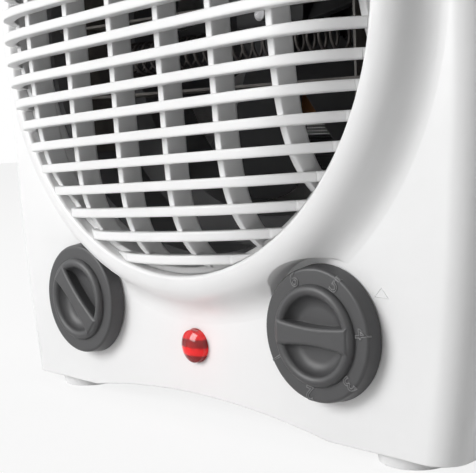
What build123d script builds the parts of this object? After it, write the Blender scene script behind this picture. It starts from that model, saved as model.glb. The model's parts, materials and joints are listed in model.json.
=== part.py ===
from build123d import *
import os
from math import cos, hypot, pi, radians, sin, sqrt

# Desktop fan heater, in millimetres. The front faces -Y, +Z is up and the feet stand on Z = 0.

# Overall casing
foot_height = 4.3
body_top = 266.0
half_bottom = 105.0
half_waist = 116.5
half_shoulder = 109.5
shoulder_z = 250.0
top_corner_r = 32.0
panel_y = -38.4
split_y = -10.0
back_y = 65.0
wall = 2.4
front_edge_r = 9.0
back_edge_r = 16.0
arch_half = 60.0
arch_rise = 5.5

# Round air outlet in the front
outlet_z = 143.3
outlet_r = 89.7
rim_height = 11.6
rim_edge_r = 1.4
cove_r = 108.0
seat_depth = 3.4

# Domed outlet grille
dome_rise = 18.4
dome_power = 9.0
dome_samples = 15
grille_turn = 2.7
slat_pitch = 8.32
slat_height = 3.1
slat_depth = 5.0
slat_first = -0.5
fin_pitch = 24.4
fin_thickness = 2.6
fin_depth = 8.0
fin_setback = 4.2
collar_thickness = 2.4
collar_setback = 4.6
seat_clearance = 0.15
flange_thickness = 2.0
flange_r = 97.0

# Knobs, lamp and their places
knob_spacing = 122.0
knob_z = 39.0
knob_r = 21.5
knob_front_gap = 6.0
knob_back_gap = 0.6
knob_ring_r = 13.9
knob_ring_height = 2.0
knob_dish_r = 12.2
knob_dish_depth = 2.0
knob_taper = 0.7
grip_width = 8.8
grip_waist = 6.2
grip_proud = 0.4
grip_root = 0.4
grip_edge_r = 1.3
pocket_clearance = 2.1
selector_angle = -45.0
spindle_r = 3.0
running_gap = 0.05
fixed_gap = 0.02
lamp_z = 27.3
lamp_r = 5.8
lamp_proud = 4.0
lamp_gap = 0.2
lamp_wall = 1.0
lamp_flange = 2.2
bulb_r = 2.2

# Feet
foot_x = 82.8
foot_front_y = -24.4
foot_back_y = 42.0
foot_r = 11.9
foot_stud_r = 3.0
foot_stud_length = 6.0

# Air duct and fan
duct_wall = 2.0
duct_front_r = 84.0
duct_throat_r = 74.0
duct_cone_start = -8.0
duct_cone_end = 0.0
duct_back_y = 24.0
fan_r = 71.0
fan_y = 12.0
hub_r = 17.0
hub_depth = 16.0
hub_wall = 2.0
blade_count = 6
blade_chord = 31.0
blade_pitch = 34.0
blade_thickness = 1.8
shaft_r = 2.5
shaft_front = -1.0

# Motor and its bracket
bracket_thickness = 2.5
bracket_ring_r = 24.0
bracket_hole_r = 9.0
bracket_arm_width = 12.0
core_width = 58.0
core_height = 48.0
core_depth = 16.0
core_bore_r = 13.5
rotor_r = 13.0
bearing_r = 8.0
bearing_depth = 6.0
winding_width = 30.0
winding_height = 13.0
winding_overhang = 7.0
winding_clearance = 1.0

# Heater
element_y = -21.0
board_thickness = 0.9
board_depth = 18.0
board_spacing = 27.0
board_gap = 0.2
end_plate_x = 68.0
coil_r = 6.0
coil_turns = 24
coil_wire = 1.1
coil_tail = 3.0
cutout_r = 7.0
cutout_height = 5.0

# Electrical pieces
switch_width = 32.0
switch_height = 30.0
switch_depth = 22.0
thermostat_width = 26.0
thermostat_height = 34.0
thermostat_depth = 16.0
spindle_depth = 12.0
bimetal_thickness = 0.8
terminal_length = 18.0
terminal_depth = 15.0
terminal_height = 16.0
terminal_x = 70.0
terminal_y = 18.0
gland_x = 66.0
gland_z = 26.0
gland_r = 6.0
gland_bore_r = 3.5
gland_length = 16.0
gland_flange_r = 8.2
gland_flange_thickness = 2.5

# Rear cover features
inlet_r = 63.0
inlet_pitch = 8.6
inlet_slot = 4.4
vent_count = 6
vent_pitch = 8.0
vent_width = 3.0
vent_low = 72.0
vent_high = 122.0
vent_first_y = 0.0
grip_hole_width = 90.0
grip_hole_height = 26.0
grip_hole_z = 225.0
grip_cup_depth = 25.0
grip_cup_wall = 1.8
grip_cup_lip = 3.0

# Fasteners
boss_r = 4.5
boss_x = 84.0
boss_low_z = 23.0
boss_high_z = 238.0
screw_r = 1.5
screw_clearance = 0.3
screw_head_r = 3.2
screw_head_height = 2.2
screw_length = 18.0
casing_screw_seat = 14.0
flange_screw_angle = 45.0
flange_screw_length = 10.0
flange_screw_inset = 0.6

# Values that follow from the ones above
rim_y = panel_y - rim_height
panel_back = panel_y + wall
dome_seat = rim_y + seat_depth
grille_flange_back = panel_back + flange_thickness
duct_flange_back = grille_flange_back + flange_thickness
bracket_back = duct_back_y + bracket_thickness
shaft_back = bracket_back + core_depth + 2 * bearing_depth + winding_overhang
knob_front = panel_y - knob_front_gap
knob_back = panel_y - knob_back_gap
pocket_r = knob_r + pocket_clearance
flange_screw_r = (outlet_r + flange_r) / 2 - flange_screw_inset
outlet_axis = Axis((0, 0, outlet_z), (0, 1, 0))


def dome_y(radius):
    """Front of the grille at a distance from the outlet's centre."""
    share = min(radius / outlet_r, 1.0)
    return dome_seat - dome_rise * (1 - share ** dome_power)


def front_plane(y):
    """A plane facing the viewer, with its own x to the right and its own y up."""
    return Plane(origin=(0, y, 0), x_dir=(1, 0, 0), z_dir=(0, -1, 0))


def casing_screw_points():
    """The four casing screws, seen from the front."""
    return [(x, z) for x in (-boss_x, boss_x) for z in (boss_low_z, boss_high_z)]


def flange_screw_points():
    """Screws that hold the duct and the grille to the front cover."""
    angles = [flange_screw_angle + 90 * k for k in range(4)]
    return [
        (flange_screw_r * cos(radians(a)), outlet_z + flange_screw_r * sin(radians(a))) for a in angles
    ]


def foot_points():
    return [(x, y) for x in (-foot_x, foot_x) for y in (foot_front_y, foot_back_y)]


def finish(part, name):
    part.label = name
    export_step(part, f"parts/{name}.step")


def casing_section(inset):
    """The casing's outline moved inward: bowed sides, a crowned top and a shallow arch between the feet."""
    low = foot_height + inset
    arch = arch_half + inset
    bottom = half_bottom - inset
    waist = half_waist - inset
    shoulder = half_shoulder - inset
    with BuildSketch() as section:
        with BuildLine():
            side = ThreePointArc((bottom, low), (waist, outlet_z), (shoulder, shoulder_z - inset))
            top = ThreePointArc(side @ 1, (0, body_top - inset), (-shoulder, shoulder_z - inset))
            ThreePointArc(top @ 1, (-waist, outlet_z), (-bottom, low))
            Line((-bottom, low), (-arch, low))
            ThreePointArc((-arch, low), (0, low + arch_rise), (arch, low))
            Line((arch, low), (bottom, low))
        make_face()
        fillet(section.vertices().sort_by(Axis.Y)[-2:], radius=top_corner_r - inset)
    return section.sketch


def casing_block(outline, end_y, inset, edge_r):
    """A solid from the split to one end, with that end's edges rounded except underneath."""
    with BuildPart() as block:
        with BuildSketch(front_plane(max(end_y, split_y))):
            add(outline)
        extrude(amount=abs(end_y - split_y))
        ends = block.edges().filter_by_position(Axis.Y, end_y - 0.01, end_y + 0.01)
        above = foot_height + arch_rise + 2 * inset + wall
        fillet([e for e in ends if (e @ 0.5).Z > above], radius=edge_r)
    return block.part


casing_outline = casing_section(0.0)
casing_hollow = casing_section(wall)

# Front cover: panel, raised rim around the outlet and pockets for the knobs
front_outside = casing_block(casing_outline, panel_y, 0.0, front_edge_r)
front_inside = casing_block(casing_hollow, panel_back, wall, front_edge_r - wall)

with BuildPart() as front_cover:
    add(front_outside)
    add(front_inside, mode=Mode.SUBTRACT)
    with BuildSketch(Plane.XY.offset(outlet_z)):
        with BuildLine():
            inner = Line((outlet_r, panel_back), (outlet_r, rim_y + rim_edge_r))
            lip = TangentArc(inner @ 1, (outlet_r + rim_edge_r, rim_y), tangent=(0, -1))
            middle = ((lip @ 1) + Vector(cove_r, panel_y)) / 2
            crown = TangentArc(lip @ 1, middle, tangent=(1, 0))
            TangentArc(crown @ 1, (cove_r, panel_y), tangent=crown % 1)
            Line((cove_r, panel_y), (cove_r, panel_back))
            Line((cove_r, panel_back), inner @ 0)
        make_face()
    revolve(axis=outlet_axis)
    with BuildSketch(front_plane(panel_back)):
        with Locations((0, outlet_z)):
            Circle(outlet_r)
    extrude(amount=rim_height + wall, mode=Mode.SUBTRACT)
    with BuildSketch(front_plane(panel_y)):
        with Locations((-knob_spacing / 2, knob_z), (knob_spacing / 2, knob_z)):
            Circle(pocket_r)
    extrude(amount=rim_height, mode=Mode.SUBTRACT)
    with BuildSketch(front_plane(panel_back)):
        with Locations((-knob_spacing / 2, knob_z), (knob_spacing / 2, knob_z)):
            Circle(spindle_r + screw_clearance)
        with Locations((0, lamp_z)):
            Circle(lamp_r + lamp_gap)
    extrude(amount=wall, mode=Mode.SUBTRACT)
    with BuildSketch(front_plane(split_y)):
        with Locations(*casing_screw_points()):
            Circle(boss_r)
    extrude(amount=split_y - panel_back)
    with BuildSketch(front_plane(split_y)):
        with Locations(*casing_screw_points()):
            Circle(screw_r + running_gap)
    extrude(amount=screw_length, mode=Mode.SUBTRACT)
    with BuildSketch(front_plane(panel_back)):
        with Locations(*flange_screw_points()):
            Circle(screw_r + running_gap)
    extrude(amount=flange_screw_length - flange_thickness, mode=Mode.SUBTRACT)
    with BuildSketch(Plane.XY.offset(foot_height)):
        with Locations(*[p for p in foot_points() if p[1] < split_y]):
            Circle(foot_stud_r + screw_clearance)
    extrude(amount=wall, mode=Mode.SUBTRACT)
finish(front_cover.part, "front_cover")

# Rear cover: deep shell with the air inlet, side vents, hand grip opening and screw bosses
rear_outside = casing_block(casing_outline, back_y, 0.0, back_edge_r)
rear_inside = casing_block(casing_hollow, back_y - wall, wall, back_edge_r - wall)

with BuildPart() as rear_cover:
    add(rear_outside)
    add(rear_inside, mode=Mode.SUBTRACT)
    with BuildSketch(front_plane(back_y)):
        with Locations(*casing_screw_points()):
            Circle(boss_r)
    extrude(amount=back_y - split_y)
    with BuildSketch(front_plane(back_y)):
        with Locations(*casing_screw_points()):
            Circle(screw_head_r + screw_clearance)
    extrude(amount=back_y - split_y - casing_screw_seat, mode=Mode.SUBTRACT)
    with BuildSketch(front_plane(back_y)):
        with Locations(*casing_screw_points()):
            Circle(screw_r + screw_clearance)
    extrude(amount=back_y - split_y, mode=Mode.SUBTRACT)
    row_count = int(inlet_r / inlet_pitch)
    with BuildSketch(front_plane(back_y)):
        for row in range(-row_count, row_count + 1):
            rise = row * inlet_pitch
            half = sqrt(inlet_r ** 2 - rise ** 2)
            middle = (half + inlet_slot) / 2
            with Locations((-middle, outlet_z + rise), (middle, outlet_z + rise)):
                SlotOverall(half - inlet_slot / 2, inlet_slot)
    extrude(amount=wall, mode=Mode.SUBTRACT)
    with BuildSketch(front_plane(back_y)):
        with Locations((0, grip_hole_z)):
            RectangleRounded(grip_hole_width, grip_hole_height, grip_hole_height / 4)
        with Locations((gland_x, gland_z)):
            Circle(gland_r)
    extrude(amount=wall, mode=Mode.SUBTRACT)
    with BuildSketch(Plane.YZ):
        for k in range(vent_count):
            with Locations((vent_first_y + k * vent_pitch, (vent_low + vent_high) / 2)):
                SlotOverall(vent_high - vent_low, vent_width, rotation=90)
    extrude(amount=half_waist + wall, both=True, mode=Mode.SUBTRACT)
    with BuildSketch(Plane.XY.offset(foot_height)):
        with Locations(*[p for p in foot_points() if p[1] > split_y]):
            Circle(foot_stud_r + screw_clearance)
    extrude(amount=wall, mode=Mode.SUBTRACT)
finish(rear_cover.part, "rear_cover")

# Outlet grille: rounded slats in front, upright fins behind them and a collar with a flange
collar_r = outlet_r - seat_clearance
collar_inner = collar_r - collar_thickness


def slat_heights():
    """Heights of the slats, spaced from the one just above the outlet's centre line."""
    reach = outlet_r - slat_height
    low = -int((reach + slat_first) / slat_pitch)
    high = int((reach - slat_first) / slat_pitch)
    return [slat_first + k * slat_pitch for k in range(low, high + 1)]


def dome_points(half, rise, setback):
    """Points on the dome along a chord at one distance from the centre, closer together near its ends."""
    steps = [-cos(pi * k / (dome_samples - 1)) for k in range(dome_samples)]
    return [(half * s, dome_y(hypot(half * s, rise)) + setback) for s in steps]


with BuildPart() as grille_square:
    with BuildSketch(Plane.XY.offset(outlet_z)):
        with BuildLine():
            Polyline(
                (collar_inner, rim_y + collar_setback),
                (collar_r, rim_y + collar_setback),
                (collar_r, panel_back),
                (flange_r, panel_back),
                (flange_r, grille_flange_back),
                (collar_inner, grille_flange_back),
                close=True,
            )
        make_face()
    revolve(axis=outlet_axis)
    for rise in slat_heights():
        half = sqrt(collar_r ** 2 - (abs(rise) + slat_height / 2) ** 2)
        front = dome_points(half, rise, 0.0)
        back = [(x, y + slat_depth) for x, y in reversed(front)]
        with BuildSketch(Plane.XY.offset(outlet_z + rise - slat_height / 2)):
            with BuildLine():
                Spline(*front)
                Line(front[-1], back[0])
                Spline(*back)
                Line(back[-1], front[0])
            make_face()
        extrude(amount=slat_height)
    fin_count = int(collar_inner / fin_pitch - 0.5)
    for place in [(k + 0.5) * fin_pitch * side for k in range(fin_count + 1) for side in (-1, 1)]:
        half = sqrt(collar_r ** 2 - (abs(place) + fin_thickness / 2) ** 2)
        front = [(y, outlet_z + x) for x, y in dome_points(half, place, fin_setback)]
        back = [(y + fin_depth, z) for y, z in reversed(front)]
        with BuildSketch(Plane.YZ.offset(place)):
            with BuildLine():
                Spline(*front)
                Line(front[-1], back[0])
                Spline(*back)
                Line(back[-1], front[0])
            make_face()
        extrude(amount=fin_thickness / 2, both=True)

with BuildPart() as front_grille:
    add(grille_square.part.rotate(outlet_axis, -grille_turn))
    with BuildSketch(front_plane(grille_flange_back)):
        with Locations(*flange_screw_points()):
            Circle(screw_r + screw_clearance)
    extrude(amount=flange_thickness, mode=Mode.SUBTRACT)
finish(front_grille.part, "front_grille")

print("grille slats", len(slat_heights()), "fins", 2 * (fin_count + 1))


# Knobs: skirt, raised ring, dished centre and a waisted grip across it
knob_bore_depth = 2.4
knob_edge_r = 1.0
knob_ring_width = 2.0
dish_corner = 4.0
grip_overlap = 0.6


def make_knob(centre_x, angle, name):
    grip_front = knob_front - knob_ring_height - grip_proud
    dish_floor = knob_front + knob_dish_depth
    axis = Axis((centre_x, 0, knob_z), (0, 1, 0))
    profile = Plane(origin=(centre_x, 0, knob_z), x_dir=(1, 0, 0), z_dir=(0, 0, 1))
    grip_foot = dish_floor + grip_root
    along = (cos(radians(angle)), 0, sin(radians(angle)))
    grip_plane = Plane(origin=(centre_x, grip_foot, knob_z), x_dir=along, z_dir=(0, -1, 0))
    reach = knob_ring_r + grip_overlap
    with BuildPart() as grip:
        with BuildSketch(grip_plane):
            with BuildLine():
                upper = ThreePointArc(
                    (-reach, grip_width / 2), (0, grip_waist / 2), (reach, grip_width / 2)
                )
                end = Line(upper @ 1, (reach, -grip_width / 2))
                lower = ThreePointArc(end @ 1, (0, -grip_waist / 2), (-reach, -grip_width / 2))
                Line(lower @ 1, upper @ 0)
            make_face()
        extrude(amount=grip_foot - grip_front)
        fillet(grip.faces().sort_by(Axis.Y)[0].edges(), radius=grip_edge_r)
    with BuildPart() as knob:
        with BuildSketch(profile):
            with BuildLine():
                floor = Line((0, dish_floor), (knob_dish_r - dish_corner, dish_floor))
                wall_arc = TangentArc(
                    floor @ 1, (knob_dish_r, knob_front - knob_ring_height / 3), tangent=(1, 0)
                )
                ring = ThreePointArc(
                    wall_arc @ 1,
                    (knob_ring_r, knob_front - knob_ring_height),
                    (knob_ring_r + knob_ring_width, knob_front),
                )
                face = Line(ring @ 1, (knob_r - knob_taper, knob_front))
                skirt = Line(face @ 1, (knob_r, knob_back))
                Line(skirt @ 1, (0, knob_back))
                Line((0, knob_back), floor @ 0)
            make_face()
        revolve(axis=axis)
        rim = knob.edges().filter_by(GeomType.CIRCLE).filter_by_position(
            Axis.Y, knob_front - 0.01, knob_front + 0.01
        ).sort_by(SortBy.RADIUS)[-1]
        fillet(rim, radius=knob_edge_r)
        add(grip.part)
        with BuildSketch(front_plane(knob_back)):
            with Locations((centre_x, knob_z)):
                Circle(spindle_r + fixed_gap)
        extrude(amount=knob_bore_depth, mode=Mode.SUBTRACT)
    finish(knob.part, name)
    return knob.part


make_knob(-knob_spacing / 2, selector_angle, "selector_knob")
make_knob(knob_spacing / 2, 0.0, "thermostat_knob")

spindle_front = knob_back - knob_bore_depth
spindle_back = panel_back + spindle_depth

for side, name in ((-1, "selector_spindle"), (1, "thermostat_spindle")):
    with BuildPart() as spindle:
        with BuildSketch(front_plane(spindle_back)):
            with Locations((side * knob_spacing / 2, knob_z)):
                Circle(spindle_r)
        extrude(amount=spindle_back - spindle_front)
    finish(spindle.part, name)


def spindle_bore(centre_x):
    """Cut the running bore for a spindle into the block that is being built."""
    return Plane(
        origin=(centre_x, spindle_back + screw_clearance, knob_z), x_dir=(1, 0, 0), z_dir=(0, -1, 0)
    )


# Rotary switch behind the left knob, with its terminals
tab_width = 4.8
tab_thickness = 0.8
tab_length = 6.0

with BuildPart() as rotary_switch:
    with BuildSketch(front_plane(panel_back + switch_depth)):
        with Locations((-knob_spacing / 2, knob_z)):
            RectangleRounded(switch_width, switch_height, 2.0)
    extrude(amount=switch_depth)
    with BuildSketch(spindle_bore(-knob_spacing / 2)):
        Circle(spindle_r + running_gap)
    extrude(amount=spindle_depth + screw_clearance, mode=Mode.SUBTRACT)
    with BuildSketch(front_plane(panel_back + switch_depth + tab_length)):
        with Locations((-knob_spacing / 2, knob_z)):
            with GridLocations(switch_width / 4, switch_height / 2, 3, 2):
                Rectangle(tab_width, tab_thickness)
    extrude(amount=tab_length)
finish(rotary_switch.part, "rotary_switch")

# Room thermostat behind the right knob, with a bimetal blade above its block
blade_reach = 24.0

with BuildPart() as thermostat:
    with BuildSketch(front_plane(panel_back + thermostat_depth)):
        with Locations((knob_spacing / 2, knob_z)):
            RectangleRounded(thermostat_width, thermostat_height, 2.0)
    extrude(amount=thermostat_depth)
    with BuildSketch(spindle_bore(knob_spacing / 2)):
        Circle(spindle_r + running_gap)
    extrude(amount=spindle_depth + screw_clearance, mode=Mode.SUBTRACT)
finish(thermostat.part, "thermostat")

with BuildPart() as bimetal_blade:
    with BuildSketch(front_plane(panel_back + thermostat_depth + bimetal_thickness)):
        blade_x = (knob_spacing + thermostat_width - blade_reach) / 2
        with Locations((blade_x, knob_z - thermostat_height / 4)):
            RectangleRounded(blade_reach, tab_width, tab_width / 4)
    extrude(amount=bimetal_thickness)
finish(bimetal_blade.part, "bimetal_blade")

# Pilot lamp: lens, neon bulb and the holder that clips behind the panel
lens_flange_thickness = 1.2
lens_flange_back = panel_back + lens_flange_thickness
holder_depth = 8.0
lens_front = panel_y - lamp_proud
lens_crown = 2.0
lens_skin = 1.4
bulb_proud = 0.5
bulb_front = panel_y - bulb_proud
lamp_profile = Plane.XY.offset(lamp_z)
lamp_axis = Axis((0, 0, lamp_z), (0, 1, 0))

with BuildPart() as lamp_lens:
    with BuildSketch(lamp_profile):
        with BuildLine():
            bore = lamp_r - lamp_wall
            crown = TangentArc((0, lens_front), (lamp_r, lens_front + lens_crown), tangent=(1, 0))
            Polyline(
                crown @ 1,
                (lamp_r, panel_back),
                (lamp_r + lamp_flange, panel_back),
                (lamp_r + lamp_flange, lens_flange_back),
                (bore, lens_flange_back),
                (bore, lens_front + lens_crown + lens_skin / 2),
            )
            shoulder = lens_front + lens_crown + lens_skin / 2
            hollow = TangentArc((0, lens_front + lens_skin), (bore, shoulder), tangent=(1, 0))
            Line(hollow @ 0, crown @ 0)
        make_face()
    revolve(axis=lamp_axis)
finish(lamp_lens.part, "lamp_lens")

with BuildPart() as lamp_holder:
    with BuildSketch(front_plane(lens_flange_back + holder_depth)):
        with Locations((0, lamp_z)):
            Circle(lamp_r + lamp_flange)
    extrude(amount=holder_depth)
    with BuildSketch(front_plane(lens_flange_back + holder_depth / 2)):
        with Locations((0, lamp_z)):
            Circle(bulb_r + fixed_gap)
    extrude(amount=holder_depth / 2, mode=Mode.SUBTRACT)
finish(lamp_holder.part, "lamp_holder")

with BuildPart() as neon_bulb:
    with BuildSketch(front_plane(lens_flange_back + holder_depth / 2)):
        with Locations((0, lamp_z)):
            Circle(bulb_r)
    extrude(amount=lens_flange_back + holder_depth / 2 - bulb_front)
    fillet(neon_bulb.faces().sort_by(Axis.Y)[0].edges(), radius=bulb_r * 0.8)
finish(neon_bulb.part, "neon_bulb")

# Feet: tapered discs whose studs pass through the casing's floor
foot_taper = 0.8
foot_names = {
    (-1, -1): "front_left_foot",
    (1, -1): "front_right_foot",
    (-1, 1): "rear_left_foot",
    (1, 1): "rear_right_foot",
}

for (side, end), name in foot_names.items():
    with BuildPart() as foot:
        place = (side * foot_x, foot_front_y if end < 0 else foot_back_y)
        with BuildSketch(Plane.XY):
            with Locations(place):
                Circle(foot_r - foot_taper)
        with BuildSketch(Plane.XY.offset(foot_height)):
            with Locations(place):
                Circle(foot_r)
        loft()
        with BuildSketch(Plane.XY.offset(foot_height)):
            with Locations(place):
                Circle(foot_stud_r)
        extrude(amount=foot_stud_length)
    finish(foot.part, name)

# Air duct: wide mouth round the heater, cone and narrow throat round the fan
ear_r = 5.0
ear_overlap = 1.0
ear_place_r = duct_throat_r + duct_wall + ear_r - ear_overlap
ear_depth = 14.0
bracket_screw_length = 10.0
ear_points = [
    (ear_place_r * cos(radians(45 + 90 * k)), outlet_z + ear_place_r * sin(radians(45 + 90 * k)))
    for k in range(4)
]

with BuildPart() as air_duct:
    with BuildSketch(Plane.XY.offset(outlet_z)):
        with BuildLine():
            Polyline(
                (duct_front_r, grille_flange_back),
                (flange_r, grille_flange_back),
                (flange_r, duct_flange_back),
                (duct_front_r + duct_wall, duct_flange_back),
                (duct_front_r + duct_wall, duct_cone_start),
                (duct_throat_r + duct_wall, duct_cone_end),
                (duct_throat_r + duct_wall, duct_back_y),
                (duct_throat_r, duct_back_y),
                (duct_throat_r, duct_cone_end),
                (duct_front_r, duct_cone_start),
                close=True,
            )
        make_face()
    revolve(axis=outlet_axis)
    with BuildSketch(front_plane(duct_back_y)):
        with Locations(*ear_points):
            Circle(ear_r)
    extrude(amount=ear_depth)
    with BuildSketch(front_plane(duct_back_y)):
        with Locations(*ear_points):
            Circle(screw_r + running_gap)
    extrude(amount=bracket_screw_length, mode=Mode.SUBTRACT)
    with BuildSketch(front_plane(duct_flange_back)):
        with Locations(*flange_screw_points()):
            Circle(screw_r + screw_clearance)
    extrude(amount=flange_thickness, mode=Mode.SUBTRACT)
finish(air_duct.part, "air_duct")

# Fan: hub with twisted-out blades, driven by the shaft
blade_root_share = 0.33
blade_tip_drop = 8.0
blade_start = 15.0

with BuildPart() as fan_impeller:
    with BuildSketch(Plane.XY.offset(outlet_z)):
        with BuildLine():
            bore = shaft_r + fixed_gap
            hub_front = fan_y - hub_depth / 2
            hub_back = fan_y + hub_depth / 2
            boss = bore + hub_wall
            Polyline(
                (bore, hub_front),
                (hub_r, hub_front),
                (hub_r, hub_back),
                (hub_r - hub_wall, hub_back),
                (hub_r - hub_wall, hub_front + hub_wall),
                (boss, hub_front + hub_wall),
                (boss, hub_back),
                (bore, hub_back),
                close=True,
            )
        make_face()
    revolve(axis=outlet_axis)
    for k in range(blade_count):
        turn = radians(k * 360 / blade_count + blade_start)
        out = Vector(cos(turn), 0, sin(turn))
        across = Vector(-sin(turn), 0, cos(turn))
        chord = across * cos(radians(blade_pitch)) + Vector(0, 1, 0) * sin(radians(blade_pitch))
        blade_plane = Plane(origin=(0, fan_y, outlet_z), x_dir=out, z_dir=out.cross(chord))
        with BuildSketch(blade_plane):
            with BuildLine():
                root = hub_r - hub_wall / 2
                tip_x = fan_r - blade_tip_drop
                half_root = blade_chord * blade_root_share
                low = Line((root, -half_root), (tip_x, -blade_chord / 2))
                tip = ThreePointArc(low @ 1, (fan_r, 0), (tip_x, blade_chord / 2))
                Polyline(tip @ 1, (root, half_root), low @ 0)
            make_face()
        extrude(amount=blade_thickness / 2, both=True)
finish(fan_impeller.part, "fan_impeller")

with BuildPart() as motor_shaft:
    with BuildSketch(front_plane(shaft_back)):
        with Locations((0, outlet_z)):
            Circle(shaft_r)
    extrude(amount=shaft_back - shaft_front)
finish(motor_shaft.part, "motor_shaft")

# Motor: spider bracket on the duct, bearing bridges, laminated core, winding and rotor
bridge_width = 52.0
bridge_height = 16.0
motor_screw_x = 20.5
core_front = bracket_back + bearing_depth
core_back = core_front + core_depth
bridge_back = core_back + bearing_depth
motor_screw_points = [(-motor_screw_x, outlet_z), (motor_screw_x, outlet_z)]

with BuildPart() as motor_bracket:
    with BuildSketch(front_plane(bracket_back)):
        with Locations((0, outlet_z)):
            Circle(bracket_ring_r)
        for k in range(4):
            with Locations(Location((0, outlet_z), 45 + 90 * k)):
                with Locations((ear_place_r / 2, 0)):
                    Rectangle(ear_place_r, bracket_arm_width)
        with Locations(*ear_points):
            Circle(bracket_arm_width / 2)
            Circle(screw_r + screw_clearance, mode=Mode.SUBTRACT)
        with Locations((0, outlet_z)):
            Circle(bracket_hole_r, mode=Mode.SUBTRACT)
        with Locations(*motor_screw_points):
            Circle(screw_r + running_gap, mode=Mode.SUBTRACT)
    extrude(amount=bracket_thickness)
finish(motor_bracket.part, "motor_bracket")

for back, name in ((core_front, "front_bearing_bridge"), (bridge_back, "rear_bearing_bridge")):
    with BuildPart() as bridge:
        with BuildSketch(front_plane(back)):
            with Locations((0, outlet_z)):
                RectangleRounded(bridge_width, bridge_height, bridge_height / 3)
                Circle(shaft_r + running_gap, mode=Mode.SUBTRACT)
            with Locations(*motor_screw_points):
                Circle(screw_r + screw_clearance, mode=Mode.SUBTRACT)
        extrude(amount=bearing_depth)
    finish(bridge.part, name)

with BuildPart() as motor_core:
    with BuildSketch(front_plane(core_back)):
        with Locations((0, outlet_z)):
            RectangleRounded(core_width, core_height, 3.0)
            Circle(core_bore_r, mode=Mode.SUBTRACT)
        with Locations(*motor_screw_points):
            Circle(screw_r + screw_clearance, mode=Mode.SUBTRACT)
    extrude(amount=core_depth)
finish(motor_core.part, "motor_core")

with BuildPart() as motor_winding:
    with BuildSketch(front_plane(core_back + winding_overhang)):
        with Locations((0, outlet_z - core_height / 2 - winding_height / 2)):
            RectangleRounded(winding_width, winding_height, 3.0)
    extrude(amount=core_depth + 2 * winding_overhang - winding_clearance)
finish(motor_winding.part, "motor_winding")

with BuildPart() as motor_rotor:
    with BuildSketch(front_plane(core_back)):
        with Locations((0, outlet_z)):
            Circle(rotor_r)
            Circle(shaft_r + fixed_gap, mode=Mode.SUBTRACT)
    extrude(amount=core_depth)
finish(motor_rotor.part, "motor_rotor")

# Heater frame: three boards across the duct, slotted into two end plates
with BuildPart() as heater_frame:
    for k in (-1, 0, 1):
        rise = k * board_spacing
        half = sqrt((duct_front_r - board_gap) ** 2 - (abs(rise) + board_thickness / 2) ** 2)
        with BuildSketch(Plane.XY.offset(outlet_z + rise)):
            with Locations((0, element_y)):
                Rectangle(2 * half, board_depth)
        extrude(amount=board_thickness / 2, both=True)
    plate_half = sqrt((duct_front_r - board_gap) ** 2 - (end_plate_x + board_thickness / 2) ** 2)
    for side in (-1, 1):
        with BuildSketch(Plane.YZ.offset(side * end_plate_x)):
            with Locations((element_y, outlet_z)):
                Rectangle(board_depth, 2 * plate_half)
        extrude(amount=board_thickness / 2, both=True)
finish(heater_frame.part, "heater_frame")


# Heating coils: one unbroken wire each, wound between the end plates
def biarc(start, start_dir, end, end_dir):
    """Two arcs that join a point and direction to another point and direction."""
    across = end - start
    both = start_dir + end_dir
    spread = 2 * (1 - start_dir.dot(end_dir))
    along = across.dot(both)
    reach = (-along + sqrt(along ** 2 + spread * across.dot(across))) / spread
    middle = (start + start_dir * reach + end - end_dir * reach) * 0.5
    first = TangentArc(start, middle, tangent=start_dir)
    TangentArc(first @ 1, end, tangent=first % 1)


coil_start = end_plate_x - board_thickness / 2
helix_start = coil_start - coil_tail - coil_r
helix_pitch = 2 * helix_start / coil_turns


def coil_point(half_turns, rise):
    angle = pi * half_turns
    x = -helix_start + helix_pitch * half_turns / 2
    point = Vector(x, element_y + coil_r * cos(angle), outlet_z + rise + coil_r * sin(angle))
    slope = Vector(helix_pitch / (2 * pi), -coil_r * sin(angle), coil_r * cos(angle))
    return point, slope.normalized()


for side, name in ((1, "upper_heating_coil"), (-1, "lower_heating_coil")):
    rise = side * board_spacing / 2
    with BuildPart() as heating_coil:
        with BuildLine() as coil_path:
            point, slope = coil_point(0, rise)
            inward = Vector(1, 0, 0)
            tail = Line(
                (-coil_start, element_y + coil_r, outlet_z + rise - coil_r),
                (-coil_start + coil_tail, element_y + coil_r, outlet_z + rise - coil_r),
            )
            biarc(tail @ 1, inward, point, slope)
            for k in range(1, 2 * coil_turns + 1):
                before, before_slope = point, slope
                point, slope = coil_point(k, rise)
                biarc(before, before_slope, point, slope)
            last = Vector(coil_start - coil_tail, element_y + coil_r, outlet_z + rise + coil_r)
            biarc(point, slope, last, inward)
            Line(last, (coil_start, element_y + coil_r, outlet_z + rise + coil_r))
        with BuildSketch(Plane(origin=coil_path.line @ 0, z_dir=inward)):
            Circle(coil_wire / 2)
        sweep(path=coil_path.line)
    finish(heating_coil.part, name)
samples = [coil_point(k / 8, 0.0)[0] for k in range(16 * coil_turns + 1)]
coil_gap = min(
    (b - a).length for i, a in enumerate(samples) for b in samples[i + 8:]
) - coil_wire
print("least gap between turns", round(coil_gap, 2))

with BuildPart() as thermal_cutout:
    with BuildSketch(Plane.XY.offset(outlet_z + board_thickness / 2)):
        with Locations((board_spacing, element_y)):
            Circle(cutout_r)
    extrude(amount=cutout_height)
finish(thermal_cutout.part, "thermal_cutout")

# Terminal block on the floor and the inlet bush in the rear wall
floor_z = foot_height + wall

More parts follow.
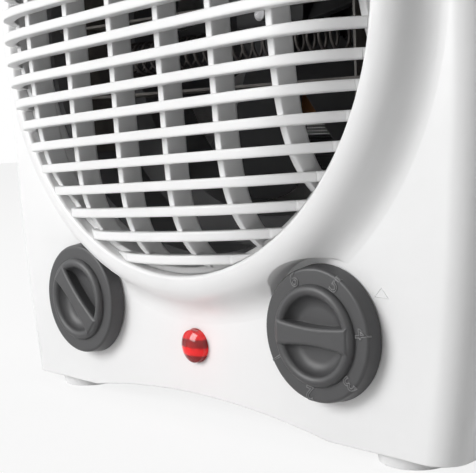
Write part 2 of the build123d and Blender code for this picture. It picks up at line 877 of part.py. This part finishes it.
with BuildPart() as terminal_block:
    with BuildSketch(Plane.XY.offset(floor_z)):
        with Locations((terminal_x, terminal_y)):
            Rectangle(terminal_length, terminal_depth)
    extrude(amount=terminal_height)
    with BuildSketch(Plane.XY.offset(floor_z + terminal_height)):
        with Locations((terminal_x, terminal_y)):
            with GridLocations(terminal_length / 3, 1, 3, 1):
                Rectangle(terminal_length / 3 - 2.0, terminal_depth - 3.0)
    extrude(amount=-terminal_height / 4, mode=Mode.SUBTRACT)
finish(terminal_block.part, "terminal_block")

with BuildPart() as cable_inlet_bush:
    with BuildSketch(front_plane(back_y)):
        with Locations((gland_x, gland_z)):
            Circle(gland_r - seat_clearance)
    extrude(amount=gland_length)
    with BuildSketch(front_plane(back_y - wall)):
        with Locations((gland_x, gland_z)):
            Circle(gland_flange_r)
    extrude(amount=gland_flange_thickness)
    with BuildSketch(front_plane(back_y)):
        with Locations((gland_x, gland_z)):
            Circle(gland_bore_r)
    extrude(amount=gland_length, mode=Mode.SUBTRACT)
finish(cable_inlet_bush.part, "cable_inlet_bush")

# Hand grip cup behind the opening near the top
with BuildPart() as hand_grip_cup:
    cup_width = grip_hole_width - 2 * seat_clearance
    cup_height = grip_hole_height - 2 * seat_clearance
    lip_width = cup_width + 2 * grip_cup_lip
    lip_height = cup_height + 2 * grip_cup_lip
    with BuildSketch(front_plane(back_y)):
        with Locations((0, grip_hole_z)):
            RectangleRounded(cup_width, cup_height, cup_height / 4)
    extrude(amount=grip_cup_depth)
    with BuildSketch(front_plane(back_y - wall)):
        with Locations((0, grip_hole_z)):
            RectangleRounded(lip_width, lip_height, cup_height / 4)
    extrude(amount=grip_cup_wall)
    with BuildSketch(front_plane(back_y)):
        with Locations((0, grip_hole_z)):
            inner_width = cup_width - 2 * grip_cup_wall
            inner_height = cup_height - 2 * grip_cup_wall
            RectangleRounded(inner_width, inner_height, cup_height / 4 - grip_cup_wall)
    extrude(amount=grip_cup_depth - grip_cup_wall, mode=Mode.SUBTRACT)
finish(hand_grip_cup.part, "hand_grip_cup")


# Screws: identical ones share a node
def make_screws(points, seat_y, length, name, head_r=screw_head_r):
    with BuildPart() as screws:
        with BuildSketch(front_plane(seat_y + screw_head_height)):
            with Locations(*points):
                Circle(head_r)
        extrude(amount=screw_head_height)
        with BuildSketch(front_plane(seat_y)):
            with Locations(*points):
                Circle(screw_r)
        extrude(amount=length)
        with BuildSketch(front_plane(seat_y + screw_head_height)):
            with Locations(*points):
                Rectangle(head_r * 1.2, screw_head_height / 3)
                Rectangle(screw_head_height / 3, head_r * 1.2)
        extrude(amount=screw_head_height / 2, mode=Mode.SUBTRACT)
    finish(screws.part, name)


make_screws(casing_screw_points(), split_y + casing_screw_seat, screw_length + 6, "casing_screws")
make_screws(flange_screw_points(), duct_flange_back, flange_screw_length, "duct_screws", 3.0)
make_screws(ear_points, bracket_back, bracket_screw_length, "bracket_screws")
make_screws(motor_screw_points, bridge_back, bridge_back - duct_back_y, "motor_screws")

# Leads from the terminal block to the switch, the thermostat and the lamp
lead_r = 1.3
block_top = floor_z + terminal_height
lead_rise = 14.0
lead_routes = {
    "switch_lead": [
        (-knob_spacing / 2, panel_back + switch_depth, knob_z),
        (-knob_spacing / 2, panel_back + switch_depth + 18, knob_z),
        (-30, terminal_y, 24),
        (20, terminal_y, 26),
        (terminal_x - 6, terminal_y + 2, block_top + lead_rise),
        (terminal_x - 6, terminal_y, block_top),
    ],
    "thermostat_lead": [
        (knob_spacing / 2, panel_back + thermostat_depth, knob_z + 6),
        (knob_spacing / 2, panel_back + thermostat_depth + 16, knob_z + 6),
        (terminal_x, terminal_y - 2, block_top + lead_rise + 4),
        (terminal_x, terminal_y, block_top),
    ],
    "lamp_lead": [
        (0, lens_flange_back + holder_depth, lamp_z),
        (0, lens_flange_back + holder_depth + 14, lamp_z),
        (36, 0, lamp_z + 4),
        (terminal_x + 6, terminal_y - 4, block_top + lead_rise),
        (terminal_x + 6, terminal_y, block_top),
    ],
}
for name, route in lead_routes.items():
    corners = [Vector(*p) for p in route]
    radii = []
    for before, here, after in zip(corners, corners[1:], corners[2:]):
        shorter = min((here - before).length, (after - here).length)
        half_turn = radians((here - before).get_angle(after - here)) / 2
        radii.append(0.45 * shorter * cos(half_turn) / sin(half_turn))
    with BuildPart() as lead:
        with BuildLine() as lead_path:
            FilletPolyline(*route, radius=radii)
        start = corners[1] - corners[0]
        with BuildSketch(Plane(origin=corners[0], z_dir=start)):
            Circle(lead_r)
        sweep(path=lead_path.line)
    finish(lead.part, name)
    print(name, "radii", [round(r, 1) for r in radii])
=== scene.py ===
import json
import math

import bpy
from mathutils import Matrix, Vector
from mathutils.bvhtree import BVHTree


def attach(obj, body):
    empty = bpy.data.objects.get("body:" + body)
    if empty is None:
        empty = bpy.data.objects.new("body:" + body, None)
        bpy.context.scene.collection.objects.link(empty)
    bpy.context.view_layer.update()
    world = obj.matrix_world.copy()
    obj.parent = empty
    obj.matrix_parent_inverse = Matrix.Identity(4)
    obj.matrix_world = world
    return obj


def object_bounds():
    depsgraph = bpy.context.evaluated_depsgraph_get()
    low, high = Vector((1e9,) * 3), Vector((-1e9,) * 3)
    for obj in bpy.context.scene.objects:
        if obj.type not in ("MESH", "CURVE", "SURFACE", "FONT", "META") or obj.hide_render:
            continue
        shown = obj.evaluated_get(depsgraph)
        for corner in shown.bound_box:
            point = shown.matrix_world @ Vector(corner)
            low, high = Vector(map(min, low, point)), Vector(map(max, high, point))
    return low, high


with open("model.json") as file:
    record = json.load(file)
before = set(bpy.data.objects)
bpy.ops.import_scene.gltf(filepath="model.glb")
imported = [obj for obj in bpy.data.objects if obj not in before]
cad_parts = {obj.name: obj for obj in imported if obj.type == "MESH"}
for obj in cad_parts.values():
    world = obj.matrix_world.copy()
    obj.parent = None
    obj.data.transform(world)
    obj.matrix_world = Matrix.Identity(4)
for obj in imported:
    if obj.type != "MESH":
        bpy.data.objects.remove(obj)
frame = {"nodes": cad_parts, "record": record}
cad_low, cad_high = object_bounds()

MM = 0.001
nodes = frame["nodes"]

# Camera: its place in millimetres and its three directions, solved from the photograph's edges
CAMERA_PLACE = (269.34, -275.77, 103.51)
CAMERA_RIGHT = (0.69645427, 0.71650948, -0.03956782)
CAMERA_DOWN = (0.04906905, -0.10256054, -0.99351576)
CAMERA_AHEAD = (-0.71592156, 0.68999674, -0.10658717)
FOCAL_PIXELS = 1039.6
PHOTO_WIDTH = 476
SENSOR_WIDTH = 36.0

# Thermostat knob and its numbers
KNOB_X = 61.0 * MM
KNOB_Z = 39.0 * MM
NUMBER_RADIUS = 18.2 * MM
NUMBER_SIZE = 6.6 * MM
NUMBER_STROKE = 0.2 * MM
NUMBER_ANGLES = {"6": 115.0, "5": 62.0, "4": 8.0, "3": -45.0, "2": -98.0, "1": -151.0}

# Pointer beside the thermostat knob: a fine raised triangle on the panel
PANEL_Y = -38.4 * MM
POINTER_X = 82.3 * MM
POINTER_Z = 53.2 * MM
POINTER_WIDTH = 5.0 * MM
POINTER_HEIGHT = 2.9 * MM
POINTER_STROKE = 0.14 * MM

# Line where the two covers meet
PARTING_Y = -10.0 * MM
PARTING_HALF = 0.22 * MM

# Pilot lamp
LAMP_Z = 27.3 * MM
LAMP_BARS = 55.0

# Dark screen behind the rear inlet, nearly closed: painted shade that keeps the heater's inside dark
SCREEN_RADIUS = 66.0 * MM
SCREEN_Y = 61.5 * MM
SCREEN_PITCH = 1.3 * MM
SCREEN_WIRE = 1.0 * MM

# Grille: its centre, turn, dome and slats, whose ends are carried on to the collar
OUTLET_Z = 143.3 * MM
OUTLET_RADIUS = 89.7 * MM
COLLAR_RADIUS = 89.5 * MM
GRILLE_TURN = math.radians(2.7)
DOME_SEAT = -46.6 * MM
DOME_RISE = 18.4 * MM
DOME_POWER = 9.0
SLAT_PITCH = 8.32 * MM
SLAT_FIRST = -0.5 * MM
SLAT_COUNT = 10
SLAT_HEIGHT = 3.1 * MM
SLAT_DEPTH = 5.0 * MM
SLAT_OVERLAP = 0.6 * MM
ARC_STEPS = 4

# Studio: lights with their places in metres and powers in watts, world light, floor and lens clip
LIGHT_TARGET = (0.0, -0.04, 0.14)
KEY_PLACE = (-0.58, -1.15, 0.6)
KEY_SIDE = 0.7
KEY_POWER = 14.8
REAR_PLACE = (0.3, 1.3, 0.8)
REAR_SIDE = 1.0
REAR_POWER = 10.0
LAMP_GLOW_POWER = 0.0008
LAMP_GLOW_SIZE = 4.0 * MM
LAMP_GLOW_GAP = 5.5 * MM
LAMP_GLOW_COLOUR = (1.0, 0.03, 0.03)
WHITE = (1.0, 1.0, 1.0, 1.0)
WORLD_LIGHT = 0.19
WORLD_WHITE = 1.0
FLOOR_HALF = 3.0
FLOOR_WHITE_SHARE = 0.85
CLIP_NEAR = 0.01
CLIP_FAR = 20.0

# Materials: scales of the plastic's flow marks and gloss, and the part of a noise's span that is used
FLOW_SCALE = 14.0
GLOSS_SCALE = 60.0
GRAIN_HEIGHT = 0.04 * MM
SPAN_LOW = 0.3
SPAN_HIGH = 0.7
PARTING_SHARE = 0.35


class Shader:
    """A node material whose parts are added one by one."""

    def __init__(self, name, colour, roughness, metallic=0.0):
        self.material = bpy.data.materials.new(name)
        self.material.use_nodes = True
        self.tree = self.material.node_tree
        self.base = self.tree.nodes["Principled BSDF"]
        self.base.inputs["Base Color"].default_value = (*colour, 1.0)
        self.base.inputs["Roughness"].default_value = roughness
        self.base.inputs["Metallic"].default_value = metallic
        self.colour = colour
        self.coords = self.tree.nodes.new("ShaderNodeTexCoord").outputs["Object"]
        self.bump_from = None

    def add(self, kind, **values):
        node = self.tree.nodes.new(kind)
        for key, value in values.items():
            setattr(node, key, value)
        return node

    def link(self, start, end):
        self.tree.links.new(start, end)

    def stretched(self, scale):
        """Object coordinates scaled along each axis."""
        mapping = self.add("ShaderNodeMapping")
        mapping.inputs["Scale"].default_value = scale
        self.link(self.coords, mapping.inputs["Vector"])
        return mapping.outputs["Vector"]

    def noise(self, scale, detail=2.0, stretch=None):
        noise = self.add("ShaderNodeTexNoise")
        noise.inputs["Scale"].default_value = scale
        noise.inputs["Detail"].default_value = detail
        self.link(self.stretched(stretch) if stretch else self.coords, noise.inputs["Vector"])
        return noise.outputs["Fac"]

    def bands(self, scale, axis, distortion=0.0):
        wave = self.add("ShaderNodeTexWave", bands_direction=axis)
        wave.inputs["Scale"].default_value = scale
        wave.inputs["Distortion"].default_value = distortion
        self.link(self.coords, wave.inputs["Vector"])
        return wave.outputs["Fac"]

    def spread(self, source, low, high):
        """The used span of a noise, brought between two values."""
        ramp = self.add("ShaderNodeMapRange")
        ramp.inputs["From Min"].default_value = SPAN_LOW
        ramp.inputs["From Max"].default_value = SPAN_HIGH
        ramp.inputs["To Min"].default_value = low
        ramp.inputs["To Max"].default_value = high
        self.link(source, ramp.inputs["Value"])
        return ramp.outputs["Result"]

    def vary_colour(self, source, darker, lighter):
        """Colour between two shares of the base colour."""
        ramp = self.add("ShaderNodeValToRGB")
        ramp.color_ramp.elements[0].position = SPAN_LOW
        ramp.color_ramp.elements[1].position = SPAN_HIGH
        for element, share in zip(ramp.color_ramp.elements, (darker, lighter)):
            element.color = (*(min(c * share, 1.0) for c in self.colour), 1.0)
        self.link(source, ramp.inputs["Fac"])
        self.link(ramp.outputs["Color"], self.base.inputs["Base Color"])

    def vary_roughness(self, source, low, high):
        self.link(self.spread(source, low, high), self.base.inputs["Roughness"])

    def soften_edges(self, radius):
        bevel = self.add("ShaderNodeBevel", samples=6)
        bevel.inputs["Radius"].default_value = radius
        self.bump_from = bevel.outputs["Normal"]
        self.link(self.bump_from, self.base.inputs["Normal"])

    def bump(self, source, strength, distance):
        bump = self.add("ShaderNodeBump")
        bump.inputs["Strength"].default_value = strength
        bump.inputs["Distance"].default_value = distance
        self.link(source, bump.inputs["Height"])
        if self.bump_from:
            self.link(self.bump_from, bump.inputs["Normal"])
        self.bump_from = bump.outputs["Normal"]
        self.link(self.bump_from, self.base.inputs["Normal"])


def moulded(name, colour, roughness, grain, edge=0.0, strength=0.12):
    """Moulded plastic: a fine surface grain, faint flow marks and slightly uneven gloss."""
    shader = Shader(name, colour, roughness)
    if edge:
        shader.soften_edges(edge)
    shader.vary_colour(shader.noise(FLOW_SCALE, 3.0), 0.97, 1.015)
    shader.vary_roughness(shader.noise(GLOSS_SCALE, 4.0), roughness - 0.04, roughness + 0.05)
    shader.bump(shader.noise(grain, 2.0), strength, GRAIN_HEIGHT)
    return shader


def colour_socket(sockets, name):
    """The socket of a mix node that carries a colour and has this name."""
    return next(s for s in sockets if s.name == name and s.type == "RGBA")


def parted(shader, place, half_width, share):
    """The fine dark line where the two covers meet."""
    split = shader.add("ShaderNodeSeparateXYZ")
    shader.link(shader.coords, split.inputs[0])
    off = shader.add("ShaderNodeMath", operation="COMPARE")
    off.inputs[1].default_value = place
    off.inputs[2].default_value = half_width
    shader.link(split.outputs["Y"], off.inputs[0])
    mix = shader.add("ShaderNodeMix", data_type="RGBA")
    old = shader.base.inputs["Base Color"].links[0].from_socket
    shader.link(off.outputs[0], mix.inputs["Factor"])
    shader.link(old, colour_socket(mix.inputs, "A"))
    colour_socket(mix.inputs, "B").default_value = (*(c * share for c in shader.colour), 1.0)
    shader.link(colour_socket(mix.outputs, "Result"), shader.base.inputs["Base Color"])


def metal(name, colour, roughness, stretch):
    """Metal with fine drawn or brushed lines."""
    shader = Shader(name, colour, roughness, metallic=1.0)
    lines = shader.noise(420.0, 3.0, stretch)
    shader.vary_colour(shader.noise(45.0, 3.0), 0.86, 1.06)
    shader.vary_roughness(lines, roughness - 0.06, roughness + 0.12)
    shader.bump(lines, 0.15, 0.00003)
    return shader


def laminated(name, colour, period):
    """Stacked sheet steel: dark lines between the laminations."""
    shader = Shader(name, colour, 0.45, metallic=0.85)
    sheets = shader.bands(period, "Y")
    shader.vary_colour(sheets, 0.55, 1.1)
    shader.bump(sheets, 0.4, 0.0001)
    shader.vary_roughness(shader.noise(120.0), 0.38, 0.55)
    return shader


def wound(name, colour, period):
    """Enamelled copper wire laid side by side."""
    shader = Shader(name, colour, 0.3, metallic=0.8)
    turns = shader.bands(period, "X", 0.15)
    shader.vary_colour(turns, 0.5, 1.15)
    shader.bump(turns, 0.7, 0.0002)
    return shader


def layered(name, colour):
    """Mica board: flaky layers with pale and brown specks."""
    shader = Shader(name, colour, 0.5)
    shader.vary_colour(shader.noise(160.0, 5.0), 0.7, 1.25)
    shader.bump(shader.noise(320.0, 3.0), 0.25, 0.00008)
    shader.vary_roughness(shader.noise(90.0), 0.35, 0.6)
    return shader


def glowing(name, colour, glow, roughness, transmission):
    """A lit clear piece: two dark bars of the tube's electrodes across a red glow."""
    shader = Shader(name, colour, roughness)
    shader.base.inputs["Transmission Weight"].default_value = transmission
    shader.base.inputs["Emission Strength"].default_value = glow
    bars = shader.bands(LAMP_BARS, "Z")
    cloud = shader.noise(350.0, 1.0)
    clouded_bars = shader.add("ShaderNodeMath", operation="MULTIPLY")
    shader.link(shader.spread(bars, 0.15, 1.0), clouded_bars.inputs[0])
    shader.link(shader.spread(cloud, 0.55, 1.0), clouded_bars.inputs[1])
    ramp = shader.add("ShaderNodeValToRGB")
    ramp.color_ramp.elements[0].position = 0.1
    ramp.color_ramp.elements[1].position = 0.85
    ramp.color_ramp.elements[0].color = (colour[0] * 0.25, 0.0, 0.0, 1.0)
    ramp.color_ramp.elements[1].color = (min(colour[0] * 1.5, 1.0), 0.012, 0.012, 1.0)
    shader.link(clouded_bars.outputs[0], ramp.inputs["Fac"])
    shader.link(ramp.outputs["Color"], shader.base.inputs["Emission Color"])
    shader.vary_colour(clouded_bars.outputs[0], 0.4, 1.1)
    shader.bump(bars, 0.2, 0.0002)
    return shader


shaders = {
    "white_casing": moulded("casing_white", (0.86, 0.86, 0.86), 0.34, 900.0, 0.0006, 0.05),
    "white_grille": moulded("grille_white", (0.87, 0.87, 0.87), 0.36, 1100.0, 0.0013, 0.05),
    "grey_knob": moulded("knob_grey", (0.062, 0.062, 0.064), 0.44, 2600.0, 0.0003, 0.3),
    "black_plastic": moulded("plastic_black", (0.03, 0.03, 0.032), 0.5, 1500.0, 0.0004, 0.2),
    "duct_plastic": moulded("plastic_duct", (0.13, 0.13, 0.133), 0.42, 1200.0, 0.0, 0.15),
    "foot_plastic": moulded("foot_pale", (0.8, 0.8, 0.8), 0.45, 1400.0, 0.0006, 0.15),
    "lead_cover": moulded("lead_rubber", (0.5, 0.12, 0.08), 0.45, 1800.0, 0.0, 0.2),
    "steel": metal("steel_brushed", (0.55, 0.55, 0.56), 0.32, (1.0, 0.08, 1.0)),
    "coil_wire": metal("wire_drawn", (0.13, 0.12, 0.115), 0.5, (0.2, 1.0, 1.0)),
    "screw_steel": metal("screw_zinc", (0.6, 0.6, 0.6), 0.34, (1.0, 1.0, 1.0)),
    "core_steel": laminated("core_sheets", (0.28, 0.29, 0.31), 900.0),
    "winding": wound("winding_copper", (0.3, 0.13, 0.05), 620.0),
    "mica": layered("mica_board", (0.12, 0.11, 0.1)),
    "lamp_red": glowing("lamp_lens_red", (0.5, 0.006, 0.008), 0.38, 0.12, 0.3),
    "bulb_glass": glowing("neon_glow", (0.9, 0.12, 0.08), 2.0, 0.1, 0.3),
}
parted(shaders["white_casing"], PARTING_Y, PARTING_HALF, PARTING_SHARE)
slot_of = {part["node"]: part["material_slot"] for part in frame["record"]["subparts"]}
for name, piece in nodes.items():
    piece.data.materials.clear()
    piece.data.materials.append(shaders[slot_of[name]].material)


def surface_of(node):
    """A search tree over a CAD node's mesh, which lies in the row frame."""
    mesh = nodes[node].data
    points = [v.co.copy() for v in mesh.vertices]
    faces = [tuple(p.vertices) for p in mesh.polygons]
    return BVHTree.FromPolygons(points, faces)


def stroked_mesh(name, curve):
    """A curve's tubes as a mesh."""
    holder = bpy.data.objects.new(name + "_curve", curve)
    bpy.context.scene.collection.objects.link(holder)
    graph = bpy.context.evaluated_depsgraph_get()
    mesh = bpy.data.meshes.new_from_object(holder.evaluated_get(graph))
    bpy.data.objects.remove(holder)
    mesh.name = name
    return mesh


def new_piece(name, mesh, shader, body, smooth=True):
    """A visual piece with one material, which rides on a body and stands in a material slot."""
    piece = bpy.data.objects.new(name, mesh)
    bpy.context.scene.collection.objects.link(piece)
    mesh.materials.clear()
    mesh.materials.append(shader.material)
    for face in mesh.polygons:
        face.use_smooth = smooth
    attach(piece, body)
    return piece


def laid_on(mesh, to_place, surface, lift):
    """Moves each vertex into place and sets it on the surface that faces the viewer."""
    ahead = Vector((0.0, 1.0, 0.0))
    for vertex in mesh.vertices:
        flat = to_place @ Vector((vertex.co.x, vertex.co.y, 0.0))
        start = Vector((flat.x, cad_low.y - 0.01, flat.z))
        hit = surface.ray_cast(start, ahead)[0]
        depth = hit.y if hit else flat.y
        vertex.co = Vector((flat.x, depth - vertex.co.z - lift, flat.z))


# Numbers on the thermostat knob, with their tops outward: raised strokes, coloured lighter than the
# knob as a painted highlight of the light on their edges
number_highlight_shader = moulded("number_painted_highlight", (0.2, 0.2, 0.203), 0.4, 2600.0, 0.0, 0.2)
knob_surface = surface_of("thermostat_knob")
for digit, angle in NUMBER_ANGLES.items():
    curve = bpy.data.curves.new("number_" + digit, "FONT")
    curve.body = digit
    curve.size = NUMBER_SIZE
    curve.align_x = "CENTER"
    curve.align_y = "CENTER"
    curve.fill_mode = "NONE"
    curve.bevel_depth = NUMBER_STROKE
    curve.bevel_resolution = 1
    curve.resolution_u = 5
    mesh = stroked_mesh("number_" + digit, curve)
    turn = math.radians(angle)
    outward = Vector((math.cos(turn), 0.0, math.sin(turn)))
    along = Vector((math.sin(turn), 0.0, -math.cos(turn)))
    place = Vector((KNOB_X, 0.0, KNOB_Z)) + outward * NUMBER_RADIUS
    turned = Matrix((along, outward, (0.0, -1.0, 0.0))).transposed()
    to_place = Matrix.Translation(place) @ turned.to_4x4()
    laid_on(mesh, to_place, knob_surface, NUMBER_STROKE / 2)
    new_piece("number_" + digit, mesh, number_highlight_shader, "thermostat_dial")

# Pointer on the panel beside the thermostat knob
curve = bpy.data.curves.new("pointer_line", "CURVE")
curve.dimensions = "3D"
curve.bevel_depth = POINTER_STROKE
curve.bevel_resolution = 2
line = curve.splines.new("POLY")
line.points.add(2)
corners = (
    (-POINTER_WIDTH / 2, -POINTER_HEIGHT / 2),
    (POINTER_WIDTH / 2, -POINTER_HEIGHT / 2),
    (0.0, POINTER_HEIGHT / 2),
)
for point, (across, up) in zip(line.points, corners):
    point.co = (POINTER_X + across, PANEL_Y, POINTER_Z + up, 1.0)
line.use_cyclic_u = True
new_piece(
    "panel_pointer",
    stroked_mesh("panel_pointer", curve),
    shaders["white_casing"],
    "casing",
)


# Painted shade: a dark screen of two layers of flat wires across the rear inlet, nearly closed, that
# keeps the heater's inside dark
corners = []
faces = []
count = int(SCREEN_RADIUS / SCREEN_PITCH)
for upright in (False, True):
    for k in range(-count, count + 1):
        middle = k * SCREEN_PITCH
        half = math.sqrt(SCREEN_RADIUS ** 2 - middle ** 2)
        for end, side in ((-half, -1), (half, -1), (half, 1), (-half, 1)):
            edge = middle + side * SCREEN_WIRE / 2
            x, z = (edge, end) if upright else (end, edge)
            corners.append((x, SCREEN_Y + upright * 0.2 * MM, OUTLET_Z + z))
        faces.append(tuple(range(len(corners) - 4, len(corners))))
mesh = bpy.data.meshes.new("painted_shade_screen")
mesh.from_pydata(corners, [], faces)
new_piece("painted_shade_screen", mesh, shaders["black_plastic"], "casing")


def dome_front(radius):
    """Front of the grille at a distance from the outlet's centre."""
    return DOME_SEAT - DOME_RISE * (1 - min(radius / OUTLET_RADIUS, 1.0) ** DOME_POWER)


def slat_end_outline(rise):
    """The gap between a slat's square end and the round collar, as distances across and up."""
    way = math.copysign(1.0, rise)
    near = abs(rise) - SLAT_HEIGHT / 2
    inner = math.sqrt(COLLAR_RADIUS ** 2 - (near + SLAT_HEIGHT) ** 2) - SLAT_OVERLAP
    heights = [near + SLAT_HEIGHT * k / ARC_STEPS for k in range(ARC_STEPS + 1)]
    arc = [(math.sqrt(COLLAR_RADIUS ** 2 - h ** 2), way * h) for h in heights]
    return [(inner, way * near), *arc, (inner, way * heights[-1])]


# Slat ends: each follows the collar's circle where the slat itself stops square
corners = []
faces = []
for k in range(-SLAT_COUNT, SLAT_COUNT + 1):
    rise = SLAT_FIRST + k * SLAT_PITCH
    for side in (-1, 1):
        outline = slat_end_outline(rise)
        first = len(corners)
        for across, up in outline:
            x = side * across * math.cos(GRILLE_TURN) - up * math.sin(GRILLE_TURN)
            z = side * across * math.sin(GRILLE_TURN) + up * math.cos(GRILLE_TURN)
            front = dome_front(math.hypot(across, rise))
            corners += [(x, front, OUTLET_Z + z), (x, front + SLAT_DEPTH, OUTLET_Z + z)]
        ring = range(len(outline))
        faces.append([first + 2 * n for n in ring])
        faces.append([first + 2 * n + 1 for n in reversed(ring)])
        for n in ring:
            after = (n + 1) % len(outline)
            faces.append([first + 2 * n, first + 2 * n + 1, first + 2 * after + 1, first + 2 * after])
mesh = bpy.data.meshes.new("slat_ends")
mesh.from_pydata(corners, [], faces)
new_piece("slat_ends", mesh, shaders["white_grille"], "casing", smooth=False)


def area_light(name, place, side, power):
    """A square softbox that faces the light target."""
    data = bpy.data.lights.new(name, "AREA")
    data.shape = "RECTANGLE"
    data.size = side
    data.size_y = side
    data.energy = power
    lamp = bpy.data.objects.new(name, data)
    bpy.context.scene.collection.objects.link(lamp)
    lamp.location = place
    lamp.rotation_mode = "QUATERNION"
    lamp.rotation_quaternion = (Vector(LIGHT_TARGET) - Vector(place)).to_track_quat("-Z", "Y")


area_light("key_softbox", KEY_PLACE, KEY_SIDE, KEY_POWER)
area_light("rear_softbox", REAR_PLACE, REAR_SIDE, REAR_POWER)
lamp_glow = bpy.data.lights.new("lamp_glow", "POINT")
lamp_glow.energy = LAMP_GLOW_POWER
lamp_glow.color = LAMP_GLOW_COLOUR
lamp_glow.shadow_soft_size = LAMP_GLOW_SIZE
lamp_glow_holder = bpy.data.objects.new("lamp_glow", lamp_glow)
bpy.context.scene.collection.objects.link(lamp_glow_holder)
lamp_glow_holder.location = (0.0, PANEL_Y - LAMP_GLOW_GAP, LAMP_Z)

# World: plain pale light on the object, white where the camera, gloss or glass sees it
world = bpy.data.worlds.new("studio")
world.use_nodes = True
bpy.context.scene.world = world
tree = world.node_tree
tree.nodes.clear()
rays = tree.nodes.new("ShaderNodeLightPath")
seen = tree.nodes.new("ShaderNodeMath")
seen.operation = "MAXIMUM"
seen_or_glass = tree.nodes.new("ShaderNodeMath")
seen_or_glass.operation = "MAXIMUM"
light_part = tree.nodes.new("ShaderNodeBackground")
light_part.inputs["Color"].default_value = WHITE
light_part.inputs["Strength"].default_value = WORLD_LIGHT
white_part = tree.nodes.new("ShaderNodeBackground")
white_part.inputs["Color"].default_value = WHITE
white_part.inputs["Strength"].default_value = WORLD_WHITE
mix = tree.nodes.new("ShaderNodeMixShader")
output = tree.nodes.new("ShaderNodeOutputWorld")
tree.links.new(rays.outputs["Is Camera Ray"], seen.inputs[0])
tree.links.new(rays.outputs["Is Glossy Ray"], seen.inputs[1])
tree.links.new(seen.outputs[0], seen_or_glass.inputs[0])
tree.links.new(rays.outputs["Is Transmission Ray"], seen_or_glass.inputs[1])
tree.links.new(seen_or_glass.outputs[0], mix.inputs[0])
tree.links.new(light_part.outputs[0], mix.inputs[1])
tree.links.new(white_part.outputs[0], mix.inputs[2])
tree.links.new(mix.outputs[0], output.inputs["Surface"])

# Floor: pale, mostly white to the camera, and it keeps the object's shadow
floor_corners = [(x * FLOOR_HALF, y * FLOOR_HALF, 0) for x, y in ((-1, -1), (1, -1), (1, 1), (-1, 1))]
floor_mesh = bpy.data.meshes.new("floor")
floor_mesh.from_pydata(floor_corners, [], [(0, 1, 2, 3)])
floor = bpy.data.objects.new("floor", floor_mesh)
bpy.context.scene.collection.objects.link(floor)
ground = Shader("floor_pale", (0.9, 0.9, 0.9), 0.7)
ground.vary_colour(ground.noise(3.0), 0.99, 1.01)
glow = ground.add("ShaderNodeEmission")
glow.inputs["Color"].default_value = WHITE
glow.inputs["Strength"].default_value = WORLD_WHITE
path = ground.add("ShaderNodeLightPath")
share = ground.add("ShaderNodeMath", operation="MULTIPLY")
share.inputs[1].default_value = FLOOR_WHITE_SHARE
blend = ground.add("ShaderNodeMixShader")
ground.link(path.outputs["Is Camera Ray"], share.inputs[0])
ground.link(share.outputs[0], blend.inputs[0])
ground.link(ground.base.outputs[0], blend.inputs[1])
ground.link(glow.outputs[0], blend.inputs[2])
ground.link(blend.outputs[0], ground.tree.nodes["Material Output"].inputs["Surface"])
floor_mesh.materials.append(ground.material)

# Camera
camera_data = bpy.data.cameras.new("camera")
camera_data.sensor_width = SENSOR_WIDTH
camera_data.lens = FOCAL_PIXELS * SENSOR_WIDTH / PHOTO_WIDTH
camera_data.clip_start = CLIP_NEAR
camera_data.clip_end = CLIP_FAR
camera = bpy.data.objects.new("camera", camera_data)
bpy.context.scene.collection.objects.link(camera)
turned = Matrix((CAMERA_RIGHT, [-c for c in CAMERA_DOWN], [-c for c in CAMERA_AHEAD])).transposed()
camera.matrix_world = Matrix.Translation(Vector(CAMERA_PLACE) * MM) @ turned.to_4x4()
bpy.context.scene.camera = camera
bpy.context.scene.view_settings.view_transform = "Standard"
